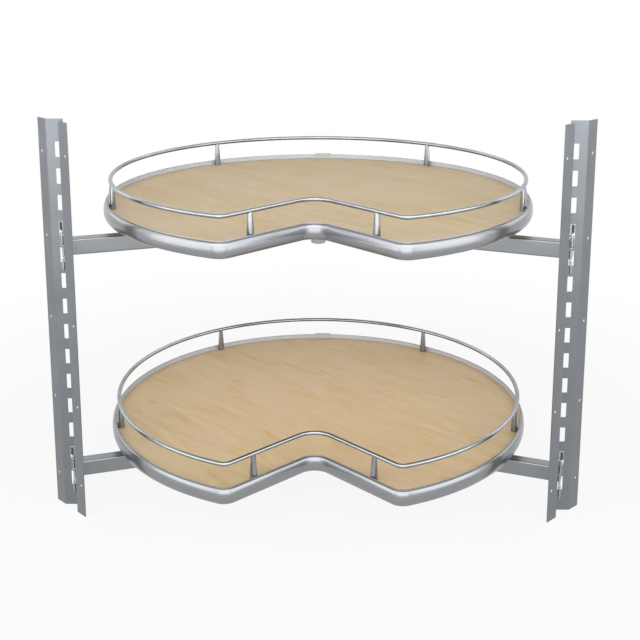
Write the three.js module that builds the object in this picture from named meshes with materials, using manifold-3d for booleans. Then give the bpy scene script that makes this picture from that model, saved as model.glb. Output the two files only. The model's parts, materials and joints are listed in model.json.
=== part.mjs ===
// Two-tier revolving fitting for a corner kitchen cabinet.
//
// Two slotted sheet-metal uprights are screwed to the cabinet's side panels, which meet the fitting
// at 45 degrees. On each level a left and a right arm hook into the uprights and meet at a bearing
// sleeve on the pivot axis. A tray turns there: a board with a V notch at the front, an aluminium
// edge profile, six posts and a closed wire rail.
//
// Millimetres, +Z up, -Y towards the doors, Z = 0 at the foot of the uprights.

import * as THREE from 'three';
import { mergeVertices } from 'three/addons/utils/BufferGeometryUtils.js';
import Module from 'manifold-3d';

const wasm = await Module();
wasm.setup();

// ---------------------------------------------------------------- driving dimensions

const seat = 0.3;                  // gap between pieces that rest on or clasp each other

// tray outline; the notch and its fillets are drawn by the centreline of the rail
const trayRadius = 410;            // outermost line of the edge profile
const railInset = 15;              // from there in to the centreline of the rail
const notchDistance = 153;         // pivot to each straight side of the notch
const notchAngle = 90;             // degrees between the two sides
const cornerRadius = 15;           // where the circle turns into the notch
const vertexRadius = 42;           // bottom of the notch

const railWire = 8;                // diameter
const railHeight = 48.7;           // rail centreline above the board
const boardThickness = 16;

const rimHeight = 9.4;             // profile's top above the board
const profileHeight = 30.2;
const profileNoseDrop = 18.5;      // profile's top down to its outermost line
const profileRim = 1.6;            // width of the bead along the top
const profileBead = 1.8;           // how far that bead stands above the nose
const profileNose = 5.7;           // how far the nose stands out past that bead
const profileFlange = 8.6;         // lip that carries the board
const profileFlangeThickness = 1.6;
const jointCoverWidth = 35;
const jointCoverSheet = 1.4;
const jointCoverGap = 0.7;
const jointCoverHook = 5;          // how far it reaches down inside the rim

const postBase = 13.2;             // diameters
const postTop = 6.8;
const postFoot = 1.6;              // height of the short cylinder at the board
const backPostAngle = 36;          // degrees from the rear centre line
const sidePostAngle = 106.3;
const frontPostX = 105;            // on the straight sides of the notch

// pivot and bearing
const swivelRadius = 60;
const swivelThickness = 4;
const swivelScrewCircle = 48;
const swivelScrewHole = 2.4;
const raceInner = 27;
const raceOuter = 45;
const raceThickness = 4;
const raceGroove = 1.5;
const ballCount = 8;
const cageThickness = 3;
const carrierRadius = 50;
const carrierThickness = 4;
const pinRadius = 9;
const pinHeadRadius = 24;
const pinHead = 3;
const sleeveRadius = 21;
const bushWall = 4.4;
const bushFlangeRadius = 20;
const bushFlange = 3;
const bushLength = 16;
const capNutRadius = 14.5;
const capNutHeight = 15.4;
const capNutFloor = 3;

// arms
const armWidth = 25;
const armHeight = 30;
const armWall = 2;
const armCorner = 3;
const armToWeb = 23.1;             // arm's axis to the back of the slotted web, at the slots
const armBelowBoard = 26.3;        // board's underside down to the arms' top

// uprights
const panelDistance = 468;         // pivot to the cabinet's side panel
const uprightHeight = 736;
const sheet = 1.5;
const bendRadius = 1.5;            // inside of each fold
const channelMiddle = 181;         // along the panel, from the foot of the pivot's normal
const channelOpening = 41.5;
const flangeWidth = 27.5;
const screwHole = 2.5;             // radius
const screwEdge = 9.7;             // from the flange's free edge
const screwEnd = 59.3;             // from the ends of the upright
const screwRows = 5;
const slotCount = 14;
const slotPitch = 48.2;
const slotHeight = 28;
const slotWidth = 10;
const slotInset = 10.3;            // from the fold of the channel to the middle of the slot

// hooks
const plateThickness = 3;
const endPlateLap = 2;             // end plate past the arm's front face
const hookNeck = 12;
const hookDrop = 15;
const hookNose = 3.5;
const armBelowHooks = 14.3;        // middle of the arm below the middle of its two slots
const hookTip = 3;                 // how far the hooks' tips are rounded
const tongueRise = 6;              // tongue's top above the upper neck
const lockHead = 2.6;              // plug in front of the web
const lockTail = 4;                // and behind it
const lockLip = 2;                 // plug's front edge over the top of the slot
const lockStep = 7;                // height at which the tail starts
const wireRadius = 0.9;
const levels = [
  { name: 'lower', slot: 12 },     // upper one of the two slots in use, counted from the top
  { name: 'upper', slot: 3 },
];

// ---------------------------------------------------------------- derived dimensions

const halfNotch = THREE.MathUtils.degToRad(notchAngle / 2);
const railRadius = trayRadius - railInset;
const slotMargin = (uprightHeight - (slotCount - 1) * slotPitch - slotHeight) / 2;
const slotTop = (n) => uprightHeight - slotMargin - n * slotPitch;
const slotBottom = (n) => slotTop(n) - slotHeight;

// heights on one level, from the rail's centreline
const boardTop = -railHeight;
const boardBottom = boardTop - boardThickness;
const rimTop = boardTop + rimHeight;
const profileBottom = rimTop - profileHeight;
const swivelTop = boardBottom - seat;
const swivelBottom = swivelTop - swivelThickness;
const upperRaceTop = swivelBottom - seat;
const upperRaceBottom = upperRaceTop - raceThickness;
const armTop = boardBottom - armBelowBoard;
const armBottom = armTop - armHeight;
const carrierTop = armTop + seat + carrierThickness;
const lowerRaceTop = carrierTop + seat + raceThickness;
const pinTop = upperRaceTop;
const bushTop = pinTop - pinHead - seat;
const sleeveTop = bushTop - bushFlange - seat;
const capNutTop = armBottom - seat - bushFlange - seat;
const armMiddle = (armTop + armBottom) / 2;
const railLevel = (level) => (
  (slotBottom(level.slot) + slotTop(level.slot + 1)) / 2 - armBelowHooks - armMiddle
);

// offsets from the rail's centreline, outwards
const rimOuter = railInset - profileNose;
const rimInner = rimOuter - profileRim;
const boardOffset = rimInner - seat;

// ---------------------------------------------------------------- solids

function geometryToSolid(geometry) {
  const bare = new THREE.BufferGeometry();
  bare.setAttribute('position', geometry.getAttribute('position'));
  bare.setIndex(geometry.getIndex());
  const merged = mergeVertices(bare, 1e-4);
  return new wasm.Manifold(new wasm.Mesh({
    numProp: 3,
    vertProperties: new Float32Array(merged.getAttribute('position').array),
    triVerts: new Uint32Array(merged.getIndex().array),
  }));
}

function solidToGeometry(solid) {
  const mesh = solid.getMesh();
  const geometry = new THREE.BufferGeometry();
  geometry.setAttribute('position', new THREE.BufferAttribute(mesh.vertProperties, 3));
  geometry.setIndex(new THREE.BufferAttribute(mesh.triVerts, 1));
  return geometry;
}

function cut(geometry, cutters) {
  let solid = geometryToSolid(geometry);
  for (const cutter of cutters) solid = solid.subtract(geometryToSolid(cutter));
  return solidToGeometry(solid);
}

function join(...geometries) {
  const [first, ...rest] = geometries.map(geometryToSolid);
  return solidToGeometry(rest.reduce((sum, solid) => sum.add(solid), first));
}

function mirrored(geometry) {
  const flipped = geometry.clone().scale(-1, 1, 1);
  const index = Array.from(flipped.getIndex().array);
  for (let i = 0; i < index.length; i += 3) [index[i], index[i + 1]] = [index[i + 1], index[i]];
  flipped.setIndex(index);
  return flipped;
}

function indexed(geometry) {
  const bare = new THREE.BufferGeometry();
  bare.setAttribute('position', geometry.getAttribute('position'));
  bare.setIndex(geometry.getIndex());
  return mergeVertices(bare, 1e-4);
}

// upright cylinder between two heights
function cylinder(radius, bottom, top, segments) {
  const geometry = new THREE.CylinderGeometry(radius, radius, top - bottom, segments);
  return indexed(geometry.rotateX(Math.PI / 2).translate(0, 0, (top + bottom) / 2));
}

function box(x0, x1, y0, y1, z0, z1) {
  const geometry = new THREE.BoxGeometry(x1 - x0, y1 - y0, z1 - z0);
  return indexed(geometry.translate((x0 + x1) / 2, (y0 + y1) / 2, (z0 + z1) / 2));
}

// body of revolution about Z; the profile holds [radius, z] pairs, going up the outside
function revolve(profile, segments) {
  const points = profile.map(([r, z]) => new THREE.Vector2(r, z));
  return indexed(new THREE.LatheGeometry(points, segments).rotateX(Math.PI / 2));
}

// ring whose section is a closed [radius, z] outline, walked anticlockwise
function revolveRing(section, segments) {
  return revolve([...section, section[0]], segments);
}

// prism on a closed outline in the XY plane
function prism(shape, bottom, top, curveSegments = 3) {
  const geometry = new THREE.ExtrudeGeometry(shape, { depth: top - bottom, bevelEnabled: false, curveSegments });
  return indexed(geometryWithIndex(geometry).translate(0, 0, bottom));
}

function geometryWithIndex(geometry) {
  if (!geometry.getIndex()) {
    geometry.setIndex([...Array(geometry.getAttribute('position').count).keys()]);
  }
  return geometry;
}

// plate standing in a plane of constant X: the shape's x runs forward (-Y), its y runs up
function sidePlate(shape, middleX, thickness) {
  const geometry = prism(shape, -thickness / 2, thickness / 2);
  const place = new THREE.Matrix4().set(
    0, 0, 1, middleX,
    -1, 0, 0, 0,
    0, 1, 0, 0,
    0, 0, 0, 1,
  );
  const turned = geometry.applyMatrix4(place);
  const index = Array.from(turned.getIndex().array);
  if (place.determinant() < 0) {
    for (let i = 0; i < index.length; i += 3) [index[i], index[i + 1]] = [index[i + 1], index[i]];
  }
  turned.setIndex(index);
  return turned;
}

// ---------------------------------------------------------------- tray outline

// The outline is four arcs joined by the two straight sides of the notch. Moving it outwards by an
// offset keeps the arcs' centres, so every ring round the tray shares these stations.
const cornerReach = Math.sqrt((railRadius - cornerRadius) ** 2 - (notchDistance - cornerRadius) ** 2);
const cornerCentre = new THREE.Vector2(
  -Math.cos(halfNotch) * (notchDistance - cornerRadius) + Math.sin(halfNotch) * cornerReach,
  -Math.sin(halfNotch) * (notchDistance - cornerRadius) - Math.cos(halfNotch) * cornerReach,
);
const vertexCentre = new THREE.Vector2(0, -(notchDistance + vertexRadius) / Math.sin(halfNotch));
const cornerStart = cornerCentre.angle() - 2 * Math.PI;

function arcStations(centre, radius, side, from, to, steps) {
  const stations = [];
  for (let i = 0; i <= steps; i += 1) {
    stations.push({ centre, radius, side, angle: from + (to - from) * i / steps });
  }
  return stations;
}

const outlineStations = [
  ...arcStations(new THREE.Vector2(), railRadius, 1, cornerStart, Math.PI - cornerStart, 48),
  ...arcStations(new THREE.Vector2(-cornerCentre.x, cornerCentre.y), cornerRadius, 1,
    Math.PI - cornerStart, 2 * Math.PI - halfNotch, 4).slice(1),
  ...arcStations(vertexCentre, vertexRadius, -1, Math.PI - halfNotch, halfNotch, 6),
  ...arcStations(cornerCentre, cornerRadius, 1, Math.PI + halfNotch, 2 * Math.PI + cornerStart, 4)
    .slice(0, -1),
];

function outline(offset) {
  return outlineStations.map(({ centre, radius, side, angle }) => new THREE.Vector2(
    centre.x + (radius + side * offset) * Math.cos(angle),
    centre.y + (radius + side * offset) * Math.sin(angle),
  ));
}

// closed band round the tray; the section holds [offset, z] pairs, walked anticlockwise
function bandRoundTray(section) {
  const positions = [];
  const index = [];
  const count = outlineStations.length;
  for (const [offset, z] of section) {
    for (const point of outline(offset)) positions.push(point.x, point.y, z);
  }
  for (let j = 0; j < section.length; j += 1) {
    const row = j * count;
    const next = ((j + 1) % section.length) * count;
    for (let i = 0; i < count; i += 1) {
      const k = (i + 1) % count;
      index.push(row + i, row + k, next + k, row + i, next + k, next + i);
    }
  }
  const geometry = new THREE.BufferGeometry();
  geometry.setAttribute('position', new THREE.BufferAttribute(new Float32Array(positions), 3));
  geometry.setIndex(index);
  return geometry;
}

// where the rail crosses a ray from the pivot, and which way it runs there
function onRail(angle) {
  const points = outline(0);
  const ray = new THREE.Vector2(Math.cos(angle), Math.sin(angle));
  for (let i = 0; i < points.length; i += 1) {
    const from = points[i];
    const step = points[(i + 1) % points.length].clone().sub(from);
    const share = ray.cross(from) / -ray.cross(step);
    if (share >= 0 && share < 1 && ray.dot(from) > 0) {
      const place = from.clone().addScaledVector(step, share);
      return { x: place.x, y: place.y, turn: step.angle() };
    }
  }
  throw new Error('the ray misses the rail');
}

function postPlaces() {
  const frontY = -notchDistance / Math.sin(halfNotch) - frontPostX / Math.tan(halfNotch);
  const angles = {
    post_back: THREE.MathUtils.degToRad(90 - backPostAngle),
    post_side: THREE.MathUtils.degToRad(90 - sidePostAngle),
    post_front: Math.atan2(frontY, frontPostX),
  };
  const places = [];
  for (const [name, angle] of Object.entries(angles)) {
    places.push({ name: `${name}_right`, ...onRail(angle) });
    places.push({ name: `${name}_left`, ...onRail(Math.PI - angle) });
  }
  return places;
}

// ---------------------------------------------------------------- tray pieces

function board() {
  return prism(new THREE.Shape(outline(boardOffset)), boardBottom, boardTop);
}

// half of the nose's section: two quarter ellipses that meet at the outermost line; the upper one
// ends below the rim's top by the shoulder
function noseCurve(offset, steps, shoulder = 0) {
  const noseZ = rimTop - profileNoseDrop;
  const points = [];
  for (let i = 0; i <= 2 * steps; i += 1) {
    const angle = -Math.PI / 2 + Math.PI * i / (2 * steps);
    const reach = Math.sin(angle) < 0 ? noseZ - profileBottom : rimTop - shoulder - noseZ;
    points.push([
      rimOuter + (profileNose + offset) * Math.cos(angle),
      noseZ + (reach + offset) * Math.sin(angle),
    ]);
  }
  return points;
}

function edgeProfile() {
  const flangeTop = boardBottom - seat;
  const flangeInner = rimInner - profileFlange;
  return bandRoundTray([
    [flangeInner, flangeTop],
    [flangeInner, flangeTop - profileFlangeThickness],
    [rimInner, flangeTop - profileFlangeThickness],
    [rimInner, profileBottom],
    ...noseCurve(0, 3, profileBead),
    [rimOuter, rimTop],
    [rimInner, rimTop],
    [rimInner, flangeTop],
  ]);
}

function jointCover() {
  const inner = noseCurve(jointCoverGap, 3);
  const outer = noseCurve(jointCoverGap + jointCoverSheet, 3);
  const topInner = rimTop + jointCoverGap;
  const topOuter = topInner + jointCoverSheet;
  const hookOuter = rimInner - jointCoverGap;
  const hookInner = hookOuter - jointCoverSheet;
  const section = [
    ...outer,
    [hookInner, topOuter],
    [hookInner, rimTop - jointCoverHook],
    [hookOuter, rimTop - jointCoverHook],
    [hookOuter, topInner],
    ...inner.reverse(),
  ].map(([offset, z]) => [railRadius + offset, z]);
  const ring = revolveRing(section, 96);
  const window = box(-jointCoverWidth / 2, jointCoverWidth / 2, railRadius / 2, trayRadius * 2,
    profileBottom - profileHeight, topOuter + profileHeight);
  return solidToGeometry(geometryToSolid(ring).intersect(geometryToSolid(window)));
}

function rail() {
  const sides = 8;
  const section = [];
  for (let i = 0; i < sides; i += 1) {
    const angle = 2 * Math.PI * i / sides;
    section.push([railWire / 2 * Math.cos(angle), railWire / 2 * Math.sin(angle)]);
  }
  return bandRoundTray(section);
}

// tapered post with a saddle for the rail in its top
function post(turn) {
  const foot = boardTop + seat;
  const body = revolve([
    [0, foot],
    [postBase / 2, foot],
    [postBase / 2, foot + postFoot],
    [postTop / 2, -railWire / 4],
    [0, -railWire / 4],
  ], 10);
  const saddle = cylinder(railWire / 2 + seat, -postBase, postBase, 12)
    .rotateX(Math.PI / 2)
    .rotateZ(turn + Math.PI / 2);
  return cut(body, [saddle]);
}

function swivelFlange() {
  const holes = [];
  for (let i = 0; i < 4; i += 1) {
    const angle = Math.PI / 4 + i * Math.PI / 2;
    holes.push(cylinder(swivelScrewHole, swivelBottom - 1, swivelTop + 1, 6)
      .translate(swivelScrewCircle * Math.cos(angle), swivelScrewCircle * Math.sin(angle), 0));
  }
  return cut(cylinder(swivelRadius, swivelBottom, swivelTop, 28), holes);
}

// ---------------------------------------------------------------- bearing

const ballCircle = (raceInner + raceOuter) / 2;
const ballZ = (upperRaceBottom + lowerRaceTop) / 2;
const raceGap = upperRaceBottom - lowerRaceTop;
const ballRadius = raceGap / 2 + raceGroove - seat;
const grooveRadius = ballRadius + seat;

// race with a groove for the balls in the face at the given height; facing is +1 up, -1 down
function race(face, back, facing) {
  const half = Math.acos(raceGap / 2 / grooveRadius);
  const groove = [];
  const steps = 3;
  for (let i = 0; i <= steps; i += 1) {
    const angle = -half + 2 * half * i / steps;
    groove.push([
      ballCircle - facing * grooveRadius * Math.sin(angle),
      ballZ - facing * grooveRadius * Math.cos(angle),
    ]);
  }
  const outerFirst = facing > 0
    ? [[raceInner, back], [raceOuter, back], [raceOuter, face], ...groove, [raceInner, face]]
    : [[raceOuter, back], [raceInner, back], [raceInner, face], ...groove, [raceOuter, face]];
  return revolveRing(outerFirst, 24);
}

function ballCage() {
  const half = cageThickness / 2;
  const ring = revolveRing([
    [raceInner + 2, ballZ - half],
    [raceOuter - 2, ballZ - half],
    [raceOuter - 2, ballZ + half],
    [raceInner + 2, ballZ + half],
  ], 16);
  const balls = [];
  for (let i = 0; i < ballCount; i += 1) {
    const angle = 2 * Math.PI * i / ballCount;
    balls.push(indexed(new THREE.SphereGeometry(ballRadius, 6, 5)
      .translate(ballCircle * Math.cos(angle), ballCircle * Math.sin(angle), ballZ)));
  }
  return join(ring, ...balls);
}

function carrierPlate() {
  return revolveRing([
    [sleeveRadius + 2 * seat, armTop + seat],
    [carrierRadius, armTop + seat],
    [carrierRadius, carrierTop],
    [sleeveRadius + 2 * seat, carrierTop],
  ], 28);
}

function hubSleeve() {
  const bore = pinRadius + seat + bushWall + seat;
  return revolveRing([
    [bore, armBottom],
    [sleeveRadius, armBottom],
    [sleeveRadius, sleeveTop],
    [bore, sleeveTop],
  ], 24);
}

// flanged bush; direction is -1 for the one that goes down into the sleeve, +1 for the one below
function bush(flangeFace, direction) {
  const bore = pinRadius + seat;
  const shank = bore + bushWall;
  const shoulder = flangeFace + direction * bushFlange;
  const end = shoulder + direction * bushLength;
  const section = [
    [bore, flangeFace],
    [bushFlangeRadius, flangeFace],
    [bushFlangeRadius, shoulder],
    [shank, shoulder],
    [shank, end],
    [bore, end],
  ];
  return revolveRing(direction > 0 ? section : section.reverse(), 16);
}

function pivotPin() {
  const tip = capNutTop - capNutHeight + capNutFloor + seat;
  return revolve([
    [0, tip],
    [pinRadius - 1, tip],
    [pinRadius, tip + 1],
    [pinRadius, pinTop - pinHead],
    [pinHeadRadius, pinTop - pinHead],
    [pinHeadRadius, pinTop],
    [0, pinTop],
  ], 20);
}

function capNut() {
  const bottom = capNutTop - capNutHeight;
  const bore = pinRadius + seat;
  return revolve([
    [0, bottom],
    [capNutRadius - 1.5, bottom],
    [capNutRadius, bottom + 1.5],
    [capNutRadius, capNutTop],
    [bore, capNutTop],
    [bore, bottom + capNutFloor],
    [0, bottom + capNutFloor],
  ], 20);
}

// ---------------------------------------------------------------- arms and hooks (right-hand side)

// the channel's fold and web, where the hooks go in
const foldX = (panelDistance - channelOpening / 2 + channelMiddle) / Math.SQRT2;
const webFront = (panelDistance - channelOpening / 2 - channelMiddle) / Math.SQRT2;
const webBack = webFront - sheet;
const slotX = foldX + slotInset;

// each arm runs forward of square by this angle, from the pivot to its hooks
const slope = Math.atan2(webBack - armToWeb, slotX);

const endPlateMiddle = (slotX + (armWidth / 2 + endPlateLap) * Math.sin(slope)) / Math.cos(slope);
const armEnd = endPlateMiddle - plateThickness / 2 - seat;

// a length along the arm's axis and a distance towards its front face become a place in plan
function onArm(geometry) {
  return geometry.rotateZ(-slope);
}

function roundedRectangle(halfX, halfY, radius) {
  const shape = new THREE.Shape();
  shape.moveTo(halfX, -halfY + radius);
  shape.lineTo(halfX, halfY - radius);
  shape.absarc(halfX - radius, halfY - radius, radius, 0, Math.PI / 2);
  shape.absarc(-halfX + radius, halfY - radius, radius, Math.PI / 2, Math.PI);
  shape.absarc(-halfX + radius, -halfY + radius, radius, Math.PI, 3 * Math.PI / 2);
  shape.absarc(halfX - radius, -halfY + radius, radius, 3 * Math.PI / 2, 2 * Math.PI);
  return shape;
}

function arm() {
  const outer = roundedRectangle(armWidth / 2, armHeight / 2, armCorner);
  outer.holes.push(roundedRectangle(armWidth / 2 - armWall, armHeight / 2 - armWall, armCorner - armWall));
  const start = sleeveRadius / 2;
  const tube = prism(outer, start, armEnd, 2)
    .rotateX(Math.PI / 2)
    .rotateZ(Math.PI / 2)
    .translate(0, 0, armMiddle);
  const sleeve = cylinder(sleeveRadius + 2 * seat, armBottom - 1, armTop + 1, 24);
  return cut(onArm(tube), [sleeve]);
}

function hookPlate(level) {
  const reach = armWidth / 2;
  const endPlate = onArm(box(endPlateMiddle - plateThickness / 2, endPlateMiddle + plateThickness / 2,
    -reach - endPlateLap, reach, armBottom, armTop));
  const rail = railLevel(level);
  const bottoms = [slotBottom(level.slot + 1) - rail, slotBottom(level.slot) - rail];
  const back = webBack - seat;
  const front = webFront + seat;
  const nose = front + hookNose;
  const rear = endPlateMiddle * Math.sin(slope) + reach * Math.cos(slope);
  const shape = new THREE.Shape();
  shape.moveTo(rear, bottoms[0] - hookDrop);
  shape.lineTo(back, bottoms[0] - hookDrop);
  for (const bottom of bottoms) {
    shape.lineTo(back, bottom + seat);
    shape.lineTo(front, bottom + seat);
    shape.lineTo(front, bottom - hookDrop);
    shape.lineTo(nose - hookTip / 2, bottom - hookDrop);
    shape.quadraticCurveTo(nose, bottom - hookDrop, nose, bottom - hookDrop + hookTip);
    shape.lineTo(nose, bottom + hookNeck - hookTip);
    shape.quadraticCurveTo(nose, bottom + hookNeck, nose - hookTip, bottom + hookNeck);
    shape.lineTo(back, bottom + hookNeck);
  }
  const top = bottoms[1] + hookNeck + tongueRise;
  shape.lineTo(back, top);
  shape.lineTo(rear, top);
  return join(endPlate, sidePlate(shape, slotX, plateThickness));
}

// plastic plug that fills the slot over the upper hook, so that the arm can't be lifted out
function lockPlug(level) {
  const rail = railLevel(level);
  const bottom = slotBottom(level.slot) - rail + hookNeck + seat;
  const top = slotTop(level.slot) - rail - seat;
  const shape = new THREE.Shape();
  shape.moveTo(webBack - lockTail, bottom + lockStep);
  shape.lineTo(webBack - seat, bottom + lockStep);
  shape.lineTo(webBack - seat, bottom);
  shape.lineTo(webFront + lockHead - lockLip / 2, bottom);
  shape.lineTo(webFront + lockHead, bottom + lockLip / 2);
  shape.lineTo(webFront + lockHead, top + lockLip / 2);
  shape.lineTo(webFront + lockHead - lockLip / 2, top + lockLip);
  shape.lineTo(webFront + seat, top + lockLip);
  shape.lineTo(webFront + seat, top);
  shape.lineTo(webBack - lockTail, top);
  return sidePlate(shape, slotX, slotWidth - 2 * seat);
}

// hairpin spring wire that passes both sides of the upper hook and closes under its nose
function lockWire(level) {
  const bottom = slotBottom(level.slot) - railLevel(level);
  const side = plateThickness / 2 + seat + wireRadius + 0.5;
  const face = -(webFront + seat + wireRadius);
  const low = bottom - hookDrop - seat - wireRadius;
  const high = bottom + hookNeck / 2;
  const bend = 2.4;
  const path = new THREE.CurvePath();
  const half = [
    new THREE.Vector3(side, -(webBack - 5), high),
    new THREE.Vector3(side, face + bend, high),
    new THREE.Vector3(side, face, high - bend),
    new THREE.Vector3(side, face, low + bend),
    new THREE.Vector3(0, face, low),
  ];
  const other = half.map((p) => new THREE.Vector3(-p.x, p.y, p.z)).reverse();
  const corner = (p) => new THREE.Vector3(p.x, face, high);
  const heel = (p) => new THREE.Vector3(p.x, face, low);
  path.add(new THREE.LineCurve3(half[0], half[1]));
  path.add(new THREE.QuadraticBezierCurve3(half[1], corner(half[1]), half[2]));
  path.add(new THREE.LineCurve3(half[2], half[3]));
  path.add(new THREE.QuadraticBezierCurve3(half[3], heel(half[3]), half[4]));
  path.add(new THREE.QuadraticBezierCurve3(other[0], heel(other[1]), other[1]));
  path.add(new THREE.LineCurve3(other[1], other[2]));
  path.add(new THREE.QuadraticBezierCurve3(other[2], corner(other[3]), other[3]));
  path.add(new THREE.LineCurve3(other[3], other[4]));
  const section = new THREE.Shape();
  section.absarc(0, 0, wireRadius, 0, 2 * Math.PI);
  const geometry = new THREE.ExtrudeGeometry(section, { extrudePath: path, steps: 24, curveSegments: 2 });
  return indexed(geometryWithIndex(geometry)).translate(slotX, 0, 0);
}

// ---------------------------------------------------------------- upright (right-hand side)

// section of the folded sheet: along the panel, and away from it towards the pivot
function foldedSection() {
  const half = channelOpening / 2;
  const middle = sheet / 2;
  const mitre = middle * Math.tan(Math.PI / 8);
  const points = [
    [channelMiddle - half - flangeWidth, middle],
    [channelMiddle - half - mitre, middle],
    [channelMiddle, half + middle * Math.SQRT2],
    [channelMiddle + half + mitre, middle],
    [channelMiddle + half + flangeWidth, middle],
  ].map(([a, b]) => new THREE.Vector2(a, b));
  const near = [];
  const far = [];
  const addPair = (point, normal) => {
    near.push(point.clone().addScaledVector(normal, -middle));
    far.push(point.clone().addScaledVector(normal, middle));
  };
  const direction = (i) => points[i + 1].clone().sub(points[i]).normalize();
  const normalOf = (d) => new THREE.Vector2(-d.y, d.x);
  addPair(points[0], normalOf(direction(0)));
  for (let i = 1; i < points.length - 1; i += 1) {
    const before = direction(i - 1);
    const after = direction(i);
    const turn = Math.atan2(before.cross(after), before.dot(after));
    const radius = bendRadius + middle;
    const tangent = radius * Math.tan(Math.abs(turn) / 2);
    const start = points[i].clone().addScaledVector(before, -tangent);
    const centre = start.clone().addScaledVector(normalOf(before), Math.sign(turn) * radius);
    const steps = 2;
    for (let k = 0; k <= steps; k += 1) {
      const normal = normalOf(before).rotateAround(new THREE.Vector2(), turn * k / steps);
      addPair(centre.clone().addScaledVector(normal, -Math.sign(turn) * radius), normal);
    }
  }
  addPair(points[points.length - 1], normalOf(direction(points.length - 2)));
  return [...near, ...far.reverse()];
}

// from the panel's own axes to plan: the right-hand panel faces forward and to the right
function panelToPlan(along, inward) {
  return new THREE.Vector2(
    (panelDistance - inward + along) / Math.SQRT2,
    (-panelDistance + inward + along) / Math.SQRT2,
  );
}

function upright() {
  const shape = new THREE.Shape(foldedSection().map((p) => panelToPlan(p.x, p.y)));
  const cutters = [];
  for (let n = 0; n < slotCount; n += 1) {
    cutters.push(box(slotX - slotWidth / 2, slotX + slotWidth / 2, -webFront - 3, -webBack + 3,
      slotBottom(n), slotTop(n)));
  }
  const edge = channelOpening / 2 + flangeWidth - screwEdge;
  for (const along of [channelMiddle - edge, channelMiddle + edge]) {
    const place = panelToPlan(along, sheet / 2);
    for (let row = 0; row < screwRows; row += 1) {
      const z = screwEnd + row * (uprightHeight - 2 * screwEnd) / (screwRows - 1);
      cutters.push(cylinder(screwHole, -3, 3, 8)
        .rotateX(Math.PI / 2)
        .rotateZ(Math.PI / 4)
        .translate(place.x, place.y, z));
    }
  }
  return cut(prism(shape, 0, uprightHeight), cutters);
}

// ---------------------------------------------------------------- assembly

const finishes = {
  upright_steel: { color: 0xa4a6a8, roughness: 0.5, metalness: 0.35 },
  arm_enamel: { color: 0xa9abad, roughness: 0.45, metalness: 0.3 },
  zinc_steel: { color: 0xc4c6c8, roughness: 0.3, metalness: 0.9 },
  maple_board: { color: 0xcdb48a, roughness: 0.5, metalness: 0 },
  anodised_profile: { color: 0x9a9ca0, roughness: 0.28, metalness: 0.85 },
  rail_steel: { color: 0xb4b6ba, roughness: 0.22, metalness: 0.9 },
  grey_plastic: { color: 0x8d9094, roughness: 0.5, metalness: 0 },
  black_plastic: { color: 0x26272a, roughness: 0.55, metalness: 0 },
  bearing_steel: { color: 0xb9bbbe, roughness: 0.25, metalness: 1 },
};

function piece(name, finish, geometry) {
  const shaded = geometry.index ? geometry : indexed(geometry);
  shaded.computeVertexNormals();
  const mesh = new THREE.Mesh(shaded, new THREE.MeshStandardMaterial({ ...finishes[finish] }));
  mesh.name = name;
  return mesh;
}

function pair(parent, name, finish, geometry) {
  parent.add(piece(`${name}_right`, finish, geometry));
  parent.add(piece(`${name}_left`, finish, mirrored(geometry)));
}

function trayLevel(level) {
  const group = new THREE.Group();
  const add = (name, finish, geometry) => group.add(piece(`${level.name}_${name}`, finish, geometry));

  add('board', 'maple_board', board());
  add('edge_profile', 'anodised_profile', edgeProfile());
  add('joint_cover', 'grey_plastic', jointCover());
  add('rail', 'rail_steel', rail());
  for (const place of postPlaces()) {
    const mesh = piece(`${level.name}_${place.name}`, 'rail_steel', post(place.turn));
    mesh.position.set(place.x, place.y, 0);
    group.add(mesh);
  }
  add('swivel_flange', 'zinc_steel', swivelFlange());
  add('upper_race', 'bearing_steel', race(upperRaceBottom, upperRaceTop, -1));
  add('ball_cage', 'bearing_steel', ballCage());
  add('lower_race', 'bearing_steel', race(lowerRaceTop, carrierTop + seat, 1));
  add('pivot_pin', 'zinc_steel', pivotPin());
  add('cap_nut', 'grey_plastic', capNut());

  add('carrier_plate', 'arm_enamel', carrierPlate());
  add('hub_sleeve', 'arm_enamel', hubSleeve());
  add('bush_top', 'black_plastic', bush(bushTop, -1));
  add('bush_bottom', 'black_plastic', bush(armBottom - seat - bushFlange, 1));
  pair(group, `${level.name}_arm`, 'arm_enamel', arm());
  pair(group, `${level.name}_hook_plate`, 'zinc_steel', hookPlate(level));
  pair(group, `${level.name}_lock_plug`, 'black_plastic', lockPlug(level));
  pair(group, `${level.name}_lock_wire`, 'zinc_steel', lockWire(level));

  group.position.z = railLevel(level);
  return group;
}

const fitting = new THREE.Group();
pair(fitting, 'upright', 'upright_steel', upright());
for (const level of levels) fitting.add(trayLevel(level));

// the origin lies midway between the trays' front corners and the back of the joint covers
const extent = new THREE.Box3().setFromObject(fitting, true);
fitting.position.y = -(extent.min.y + extent.max.y) / 2;

export default fitting;
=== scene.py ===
import json
import math
import bmesh
import bpy
from mathutils import Matrix, Vector


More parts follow.
